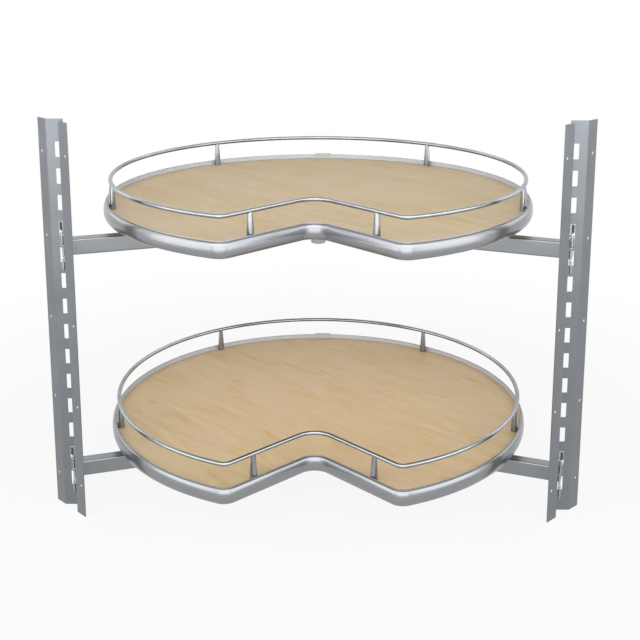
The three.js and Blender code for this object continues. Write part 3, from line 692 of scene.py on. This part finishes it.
SLEEVE_BORE = 14.0                 # radii, down to the races'
CARRIER_RADIUS = 50.0
CARRIER_BORE = 21.6
PIN_BORE = 9.3
BUSH_FLANGE = 20.0
RACE_INNER, RACE_OUTER = 27.0, 45.0
GROOVE_HALF, GROOVE_DEPTH = 3.4, 1.5
CARRIER_THICKNESS = 4.0
BUSH_FLANGE_THICKNESS = 3.0
ball_circle = (RACE_INNER + RACE_OUTER) / 2
for level, rail_z in rail_heights.items():
    carrier_top = ARM_TOP + SEAT + CARRIER_THICKNESS
    carrier = turned(level + "_carrier_disc",
                     [(CARRIER_BORE, ARM_TOP + SEAT), (CARRIER_RADIUS, ARM_TOP + SEAT),
                      (CARRIER_RADIUS, carrier_top), (CARRIER_BORE, carrier_top)], rail_z)
    finish_piece(carrier, level + "_carrier_plate", "root", arm_coat)
    low, high = ends_of(level + "_hub_sleeve", rail_z)
    sleeve = turned(level + "_bearing_sleeve",
                    [(SLEEVE_BORE, low), (SLEEVE_RADIUS, low), (SLEEVE_RADIUS, high),
                     (SLEEVE_BORE, high)], rail_z)
    finish_piece(sleeve, level + "_hub_sleeve", "root", arm_coat)
    for end, node in ((1, "bush_top"), (-1, "bush_bottom")):
        low, high = ends_of(level + "_" + node, rail_z)
        flange = high if end > 0 else low
        shoulder = flange - end * BUSH_FLANGE_THICKNESS
        tip = low if end > 0 else high
        bush = turned(level + "_nylon_" + node,
                      [(PIN_BORE, flange), (BUSH_FLANGE, flange), (BUSH_FLANGE, shoulder),
                       (SLEEVE_BORE - SEAT, shoulder), (SLEEVE_BORE - SEAT, tip),
                       (PIN_BORE, tip)], rail_z)
        finish_piece(bush, level + "_" + node, "root", black_nylon)
    for node, body, face_end in (("lower_race", "root", 1), ("upper_race", level + "_tray", -1)):
        low, high = ends_of(level + "_" + node, rail_z)
        face, base = (high, low) if face_end > 0 else (low, high)
        groove = [(ball_circle + GROOVE_HALF * math.cos(math.radians(a)),
                   face - face_end * GROOVE_DEPTH * math.sin(math.radians(a)))
                  for a in range(0, 181, 20)]
        ring = turned(level + "_" + node + "_ring",
                      [(RACE_INNER, base), (RACE_OUTER, base), (RACE_OUTER, face), *groove,
                       (RACE_INNER, face)], rail_z, softness=0.25)
        finish_piece(ring, level + "_" + node, body, bearing_steel)

# ---- Bearing on the tray --------------------------------------------------------------------
# Under each board a pressed flange takes four screws; a pin goes down through the sleeve to a
# plastic cap nut, and the balls run in a ring cage between the two races.

# Grey ABS, injection moulded: even colour, soft gloss and a fine grain.
grey_abs = recoloured(black_nylon, "grey_abs", "#A5A8AB", "#B3B6B8")

SWIVEL_RADIUS = 60.0
SWIVEL_SCREWS = 48.0               # radius of their circle
PIN_RADIUS = 9.0
PIN_HEAD, PIN_HEAD_THICKNESS = 24.0, 3.0
CAP_RADIUS, CAP_FLOOR = 14.5, 3.0
CAGE_MARGIN = 2.0                  # inside the races' edges
CAGE_HALF = 1.5                    # half its thickness
BALLS = 8
for level, rail_z in rail_heights.items():
    tray = level + "_tray"
    low, high = ends_of(level + "_swivel_flange", rail_z)
    flange = turned(level + "_swivel_disc",
                    [(0, low), (SWIVEL_RADIUS, low), (SWIVEL_RADIUS, high), (0, high)], rail_z)
    # four screw holes, countersunk from below
    heads = []
    for i in range(4):
        angle = math.radians(45 + 90 * i)
        x, y = SWIVEL_SCREWS * math.cos(angle), SWIVEL_SCREWS * math.sin(angle)
        rings = [[(x + r * math.cos(a), y + r * math.sin(a), rail_z + low + z)
                  for a in round_angles(24)] for r, z in ((4.6, -1.0), (2.4, 1.2), (2.4, 6.0))]
        heads.append(stack_rings(rings))
    cut_away(flange, heads)
    finish_piece(flange, level + "_swivel_flange", tray, zinc_plate)

    low, high = ends_of(level + "_pivot_pin", rail_z)
    neck = high - PIN_HEAD_THICKNESS
    pin = turned(level + "_pivot_pin_turned",
                 [(0, low), (PIN_RADIUS - 1, low), (PIN_RADIUS, low + 1), (PIN_RADIUS, neck),
                  (PIN_HEAD, neck), (PIN_HEAD, high), (0, high)], rail_z)
    finish_piece(pin, level + "_pivot_pin", tray, zinc_plate)

    low, high = ends_of(level + "_cap_nut", rail_z)
    # closed below, where its edge is well rounded
    cap = turned(level + "_cap_nut_moulded",
                 [(0, low), (11.5, low), (13.3, low + 0.6), (14.2, low + 1.8),
                  (CAP_RADIUS, low + 3.4), (CAP_RADIUS, high), (PIN_BORE, high),
                  (PIN_BORE, low + CAP_FLOOR), (0, low + CAP_FLOOR)], rail_z)
    finish_piece(cap, level + "_cap_nut", tray, grey_abs)

    low, high = ends_of(level + "_ball_cage", rail_z)
    ball_z, ball_radius = (low + high) / 2, (high - low) / 2
    inside, outside = RACE_INNER + CAGE_MARGIN, RACE_OUTER - CAGE_MARGIN
    cage = turned(level + "_ball_ring",
                  [(inside, ball_z - CAGE_HALF), (outside, ball_z - CAGE_HALF),
                   (outside, ball_z + CAGE_HALF), (inside, ball_z + CAGE_HALF)], rail_z)
    bm = bmesh.new()
    bm.from_mesh(cage.data)
    for a in round_angles(BALLS):
        centre = Vector((ball_circle * math.cos(a), ball_circle * math.sin(a),
                         rail_z + ball_z)) * mm + pivot
        bmesh.ops.create_uvsphere(bm, u_segments=24, v_segments=14, radius=ball_radius * mm,
                                  matrix=Matrix.Translation(centre))
    bm.to_mesh(cage.data)
    bm.free()
    cage.data.shade_smooth()
    cage.data.set_sharp_from_angle(angle=math.radians(35))
    finish_piece(cage, level + "_ball_cage", tray, bearing_steel)

# ---- Boards ---------------------------------------------------------------------------------
# 16 mm chipboard with a maple decor, cut round with a right-angled notch at the front whose
# corners are well rounded. Its edge sits in the aluminium profile.
TRAY_RADIUS = 410.0
RAIL_INSET = 15.0
RAIL_RADIUS = TRAY_RADIUS - RAIL_INSET
NOTCH_DISTANCE = 153.0             # pivot to each straight side of the notch
CORNER_RADIUS = 15.0
VERTEX_RADIUS = 42.0
BOARD_TOP = -48.7                  # from the centreline of the rail
BOARD_THICKNESS = 16.0
BOARD_BOTTOM = BOARD_TOP - BOARD_THICKNESS
eighth = math.radians(45)
corner_inset = NOTCH_DISTANCE - CORNER_RADIUS
corner_reach = math.sqrt((RAIL_RADIUS - CORNER_RADIUS) ** 2 - corner_inset ** 2)
corner_centre = Vector((-math.cos(eighth) * corner_inset + math.sin(eighth) * corner_reach,
                        -math.sin(eighth) * corner_inset - math.cos(eighth) * corner_reach))
corner_turn = math.atan2(corner_centre.y, corner_centre.x)
vertex_centre = Vector((0, -(NOTCH_DISTANCE + VERTEX_RADIUS) / math.sin(eighth)))


def tray_outline(offset):
    """Outline of the tray, moved outwards by the offset from the rail's centreline."""
    left_centre = Vector((-corner_centre.x, corner_centre.y))
    arcs = [
        (Vector((0, 0)), RAIL_RADIUS + offset, corner_turn, math.pi - corner_turn, 200),
        (left_centre, CORNER_RADIUS + offset, math.pi - corner_turn, 2 * math.pi - eighth, 14),
        (vertex_centre, VERTEX_RADIUS - offset, math.pi - eighth, eighth, 18),
        (corner_centre, CORNER_RADIUS + offset, math.pi + eighth, 2 * math.pi + corner_turn, 14),
    ]
    points = []
    for number, (centre, radius, start, end, steps) in enumerate(arcs):
        # the second arc starts where the first ends, and the last ends where the first starts
        for i in range(1 if number == 1 else 0, steps if number == 3 else steps + 1):
            angle = start + (end - start) * i / steps
            points.append((centre.x + radius * math.cos(angle),
                           centre.y + radius * math.sin(angle)))
    return points


def band_round_tray(section, rail_z):
    """Closed band round the tray; the section is a closed list of (offset, height)."""
    return stack_rings([[(x, y, rail_z + z) for x, y in tray_outline(offset)]
                        for offset, z in section], endless=True)


# Maple decor paper under melamine: pale straw with a long soft figure, pinkish clouds, fine growth
# lines and a few small eyes. The resin gives an even satin surface with a very slight pore.
maple_decor = bpy.data.materials.new("maple_melamine")
maple_decor.use_nodes = True
tree = maple_decor.node_tree
shader = tree.nodes["Principled BSDF"]
shader.inputs["IOR"].default_value = 1.5
shader.inputs["Specular IOR Level"].default_value = 0.35
where = add_node(tree, "ShaderNodeTexCoord")
# the grain runs forward to the right, along one side of the notch; the figure is five times as long
# as it is wide, the fine lines twelve times and the clouds three times
figure_axes, line_axes, cloud_axes = [
    add_node(tree, "ShaderNodeMapping",
             {"vector_type": "TEXTURE", "Rotation": (0, 0, -eighth), "Scale": (length, 1.0, 1.0)},
             Vector=where.outputs["Object"]) for length in (5.0, 12.0, 3.0)]
figure = add_node(tree, "ShaderNodeTexNoise",
                  {"Scale": 1 / (34 * mm), "Detail": 6.0, "Roughness": 0.6, "Distortion": 1.2},
                  Vector=figure_axes.outputs[0])
# growth lines 1 to 2 mm apart, drawn at 3 mm so that they show
lines = add_node(tree, "ShaderNodeTexNoise",
                 {"Scale": 1 / (3 * mm), "Detail": 3.0, "Roughness": 0.6},
                 Vector=line_axes.outputs[0])
clouds = add_node(tree, "ShaderNodeTexNoise",
                  {"Scale": 1 / (60 * mm), "Detail": 4.0, "Roughness": 0.65},
                  Vector=cloud_axes.outputs[0])
straw = add_node(tree, "ShaderNodeValToRGB", None, Fac=figure.outputs[0])
for stop, place, colour in zip(straw.color_ramp.elements, (0.3, 0.7), ("#C2A874", "#D6C099")):
    stop.position, stop.color = place, linear(colour)
blush = add_node(tree, "ShaderNodeMapRange",
                 {"From Min": 0.42, "From Max": 0.6, "To Min": 0.0, "To Max": 0.9},
                 Value=clouds.outputs[0])
warm = add_node(tree, "ShaderNodeMix", {"data_type": "RGBA", "7": linear("#D1B998")},
                _0=blush.outputs[0], _6=straw.outputs[0])
fine = add_node(tree, "ShaderNodeMapRange",
                {"From Min": 0.36, "From Max": 0.58, "To Min": 0.09, "To Max": 0.0},
                Value=lines.outputs[0])
grained = add_node(tree, "ShaderNodeMix", {"data_type": "RGBA", "7": linear("#B4935F")},
                   _0=fine.outputs[0], _6=warm.outputs[2])
# a few small eyes, each about 8 mm wide and 25 mm long
eyes = add_node(tree, "ShaderNodeTexVoronoi",
                {"voronoi_dimensions": "2D", "Scale": 1 / (130 * mm)},
                Vector=cloud_axes.outputs[0])
eye = add_node(tree, "ShaderNodeMapRange",
               {"From Min": 0.008, "From Max": 0.045, "To Min": 0.35, "To Max": 0.0},
               Value=eyes.outputs["Distance"])
marked = add_node(tree, "ShaderNodeMix", {"data_type": "RGBA", "7": linear("#A97F4E")},
                  _0=eye.outputs[0], _6=grained.outputs[2])
tree.links.new(marked.outputs[2], shader.inputs["Base Color"])
gloss = add_node(tree, "ShaderNodeMapRange", {"To Min": 0.42, "To Max": 0.52},
                 Value=lines.outputs[0])
tree.links.new(gloss.outputs[0], shader.inputs["Roughness"])
relief = add_node(tree, "ShaderNodeBump", {"Strength": 0.08, "Distance": 0.04 * mm},
                  Height=lines.outputs[0])
tree.links.new(relief.outputs[0], shader.inputs["Normal"])

PROFILE_NOSE = 5.7                 # stands out past the rim
PROFILE_RIM = 1.6
BOARD_EASE = 0.4                   # the board's sharp edges taken off
RIM_OUTER = RAIL_INSET - PROFILE_NOSE
RIM_INNER = RIM_OUTER - PROFILE_RIM
for level, rail_z in rail_heights.items():
    edge = RIM_INNER - SEAT
    section = [(edge - BOARD_EASE, BOARD_BOTTOM), (edge, BOARD_BOTTOM + BOARD_EASE),
               (edge, BOARD_TOP - BOARD_EASE), (edge - BOARD_EASE, BOARD_TOP)]
    board = new_object(level + "_maple_board",
                       *stack_rings([[(x, y, rail_z + z) for x, y in tray_outline(e)]
                                     for e, z in section]))
    finish_piece(board, level + "_board", level + "_tray", maple_decor)

# ---- Edge profiles --------------------------------------------------------------------------
# Extruded aluminium bent round the board: a rounded nose outside, a thin bead on its rim above the
# board and a lip below that carries it.
RIM_TOP = BOARD_TOP + 9.4
PROFILE_HEIGHT = 30.2
PROFILE_BOTTOM = RIM_TOP - PROFILE_HEIGHT
NOSE_Z = RIM_TOP - 18.5            # height of its outermost line
PROFILE_BEAD = 1.8                 # stands above the nose
PROFILE_LIP = 8.6                  # reaches in under the board
LIP_SHEET = 1.6


def nose_curve(offset, steps, shoulder=0.0):
    """The nose's section from its bottom up; its upper end lies below the rim by the shoulder."""
    points = []
    for i in range(2 * steps + 1):
        angle = -math.pi / 2 + math.pi * i / (2 * steps)
        low_half = math.sin(angle) < 0
        reach = NOSE_Z - PROFILE_BOTTOM if low_half else RIM_TOP - shoulder - NOSE_Z
        points.append((RIM_OUTER + (PROFILE_NOSE + offset) * math.cos(angle),
                       NOSE_Z + (reach + offset) * math.sin(angle)))
    return points


# Satin anodised aluminium: fine die lines along the profile and a soft, broad highlight.
anodised = bpy.data.materials.new("satin_anodised_aluminium")
anodised.use_nodes = True
tree = anodised.node_tree
shader = tree.nodes["Principled BSDF"]
shader.inputs["Metallic"].default_value = 0.8
where = add_node(tree, "ShaderNodeTexCoord")
# die lines are under 0.1 mm; drawn 0.7 mm apart up the section
up_only = add_node(tree, "ShaderNodeMapping", {"Scale": (0.004, 0.004, 1.0)},
                   Vector=where.outputs["Object"])
die_lines = add_node(tree, "ShaderNodeTexNoise", {"Scale": 1 / (0.7 * mm), "Detail": 3.0},
                     Vector=up_only.outputs[0])
handling = add_node(tree, "ShaderNodeTexNoise", {"Scale": 1 / (45 * mm), "Detail": 3.0},
                    Vector=where.outputs["Object"])
shade = add_node(tree, "ShaderNodeValToRGB", None, Fac=die_lines.outputs[0])
for stop, place, colour in zip(shade.color_ramp.elements, (0.3, 0.7), ("#7F8184", "#8E9093")):
    stop.position, stop.color = place, linear(colour)
tree.links.new(shade.outputs[0], shader.inputs["Base Color"])
gloss = add_node(tree, "ShaderNodeMapRange", {"To Min": 0.2, "To Max": 0.28},
                 Value=handling.outputs[0])
tree.links.new(gloss.outputs[0], shader.inputs["Roughness"])
relief = add_node(tree, "ShaderNodeBump", {"Strength": 0.06, "Distance": 0.02 * mm},
                  Height=die_lines.outputs[0])
tree.links.new(relief.outputs[0], shader.inputs["Normal"])

# The rim's inner face closes the joint to the board. Its pale, cool grey with the nylon's soft
# gloss
# is painted light: the face reads lit instead of mirroring the board, and cool against its warm
# bounce.
painted_light_rim_face = recoloured(black_nylon, "rim_face_painted_light", "#A9ADB5", "#B8BCC3")

for level, rail_z in rail_heights.items():
    lip = BOARD_BOTTOM - SEAT
    # the nose is 0.2 mm fuller in the solid, whose corners have longer facets
    nose = nose_curve(-0.2, 9, PROFILE_BEAD)
    bead = [(RIM_OUTER, RIM_TOP - 0.7), (RIM_OUTER - 0.2, RIM_TOP - 0.2),
            (RIM_OUTER - 0.6, RIM_TOP), (RIM_INNER + 0.5, RIM_TOP),
            (RIM_INNER + 0.1, RIM_TOP - 0.3), (RIM_INNER, RIM_TOP - 0.8)]
    section = [(RIM_INNER - PROFILE_LIP, lip), (RIM_INNER - PROFILE_LIP, lip - LIP_SHEET),
               (RIM_INNER, lip - LIP_SHEET), (RIM_INNER, PROFILE_BOTTOM), *nose, *bead,
               (RIM_INNER - 1.0, BOARD_TOP + SEAT), (RIM_INNER, BOARD_TOP), (RIM_INNER, lip)]
    band = new_object(level + "_aluminium_band", *band_round_tray(section, rail_z), sharp=32)
    finish_piece(band, level + "_edge_profile", level + "_tray", anodised)
    # the sloping face from the bead down to the board wears the pale grey, painted light
    band.data.materials.append(painted_light_rim_face)
    stations = len(tray_outline(0))
    first = (len(section) - 4) * stations
    for face in band.data.polygons[first:first + stations]:
        face.material_index = 1

# ---- Joint covers ---------------------------------------------------------------------------
# Small moulded clips that hide the butt joint of the profile at the back. Each hooks over the rim
# and goes round the nose.
COVER_LENGTH = 35.0
COVER_INSIDE, COVER_OUTSIDE = 0.7, 2.1  # its two faces, from the profile's
COVER_HOOK = 5.0                   # down inside the rim
for level, rail_z in rail_heights.items():
    hook_end = RIM_TOP - COVER_HOOK
    section = [*nose_curve(COVER_OUTSIDE, 7),
               (RIM_INNER - COVER_OUTSIDE, RIM_TOP + COVER_OUTSIDE),
               (RIM_INNER - COVER_OUTSIDE, hook_end), (RIM_INNER - COVER_INSIDE, hook_end),
               (RIM_INNER - COVER_INSIDE, RIM_TOP + COVER_INSIDE),
               *nose_curve(COVER_INSIDE, 7)[::-1]]
    half_turn = COVER_LENGTH / 2 / TRAY_RADIUS
    rings = []
    for i in range(9):
        angle = math.pi / 2 + half_turn * (i / 4 - 1)
        rings.append([((RAIL_RADIUS + e) * math.cos(angle), (RAIL_RADIUS + e) * math.sin(angle),
                       rail_z + z) for e, z in section])
    cover = new_object(level + "_joint_clip", *stack_rings(rings))
    finish_piece(cover, level + "_joint_cover", level + "_tray", grey_abs)

# ---- Rails and posts ------------------------------------------------------------------------
# An 8 mm steel wire bent to the tray's outline and butt welded, on six turned posts that taper
# from the board up to the wire. Both are plated satin chrome.
satin_chrome = bpy.data.materials.new("satin_chrome")
satin_chrome.use_nodes = True
tree = satin_chrome.node_tree
shader = tree.nodes["Principled BSDF"]
shader.inputs["Metallic"].default_value = 1.0
where = add_node(tree, "ShaderNodeTexCoord")
haze = add_node(tree, "ShaderNodeTexNoise", {"Scale": 1 / (30 * mm), "Detail": 4.0},
                Vector=where.outputs["Object"])
shade = add_node(tree, "ShaderNodeValToRGB", None, Fac=haze.outputs[0])
for stop, place, colour in zip(shade.color_ramp.elements, (0.3, 0.7), ("#878A8D", "#96999C")):
    stop.position, stop.color = place, linear(colour)
tree.links.new(shade.outputs[0], shader.inputs["Base Color"])
gloss = add_node(tree, "ShaderNodeMapRange", {"To Min": 0.16, "To Max": 0.27},
                 Value=haze.outputs[0])
tree.links.new(gloss.outputs[0], shader.inputs["Roughness"])

RAIL_WIRE = 4.0                    # these three are radii
POST_BASE = 6.6
POST_TOP = 3.9
POST_CHAMFER = 0.3
POST_FOOT = 1.6                    # straight part at its foot
POST_IN_WIRE = 1.5                 # its top, below the wire's centreline
for level, rail_z in rail_heights.items():
    section = [(RAIL_WIRE * math.cos(a), RAIL_WIRE * math.sin(a)) for a in round_angles(18)]
    rail = new_object(level + "_wire_rail", *band_round_tray(section, rail_z), sharp=60)
    finish_piece(rail, level + "_rail", level + "_tray", satin_chrome)
    for place in ("back", "side", "front"):
        for hand in ("left", "right"):
            node = f"{level}_post_{place}_{hand}"
            low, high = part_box(node)
            centre = ((low + high) / 2 - pivot) / mm
            foot = low.z / mm
            # the taper starts slowly, so that the post is full in its lower half
            rise = rail_z - POST_IN_WIRE - foot - POST_FOOT
            taper = [(POST_BASE - POST_CHAMFER, foot), (POST_BASE, foot + POST_CHAMFER)]
            for i in range(9):
                t = i / 8
                taper.append((POST_BASE + (POST_TOP - POST_BASE) * t ** 1.5,
                              foot + POST_FOOT + rise * t))
            rings = [[(centre.x + r * math.cos(a), centre.y + r * math.sin(a), z)
                      for a in round_angles(28)] for r, z in taper]
            post = new_object(f"{level}_turned_post_{place}_{hand}", *stack_rings(rings), sharp=40)
            finish_piece(post, node, level + "_tray", satin_chrome)

low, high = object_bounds()
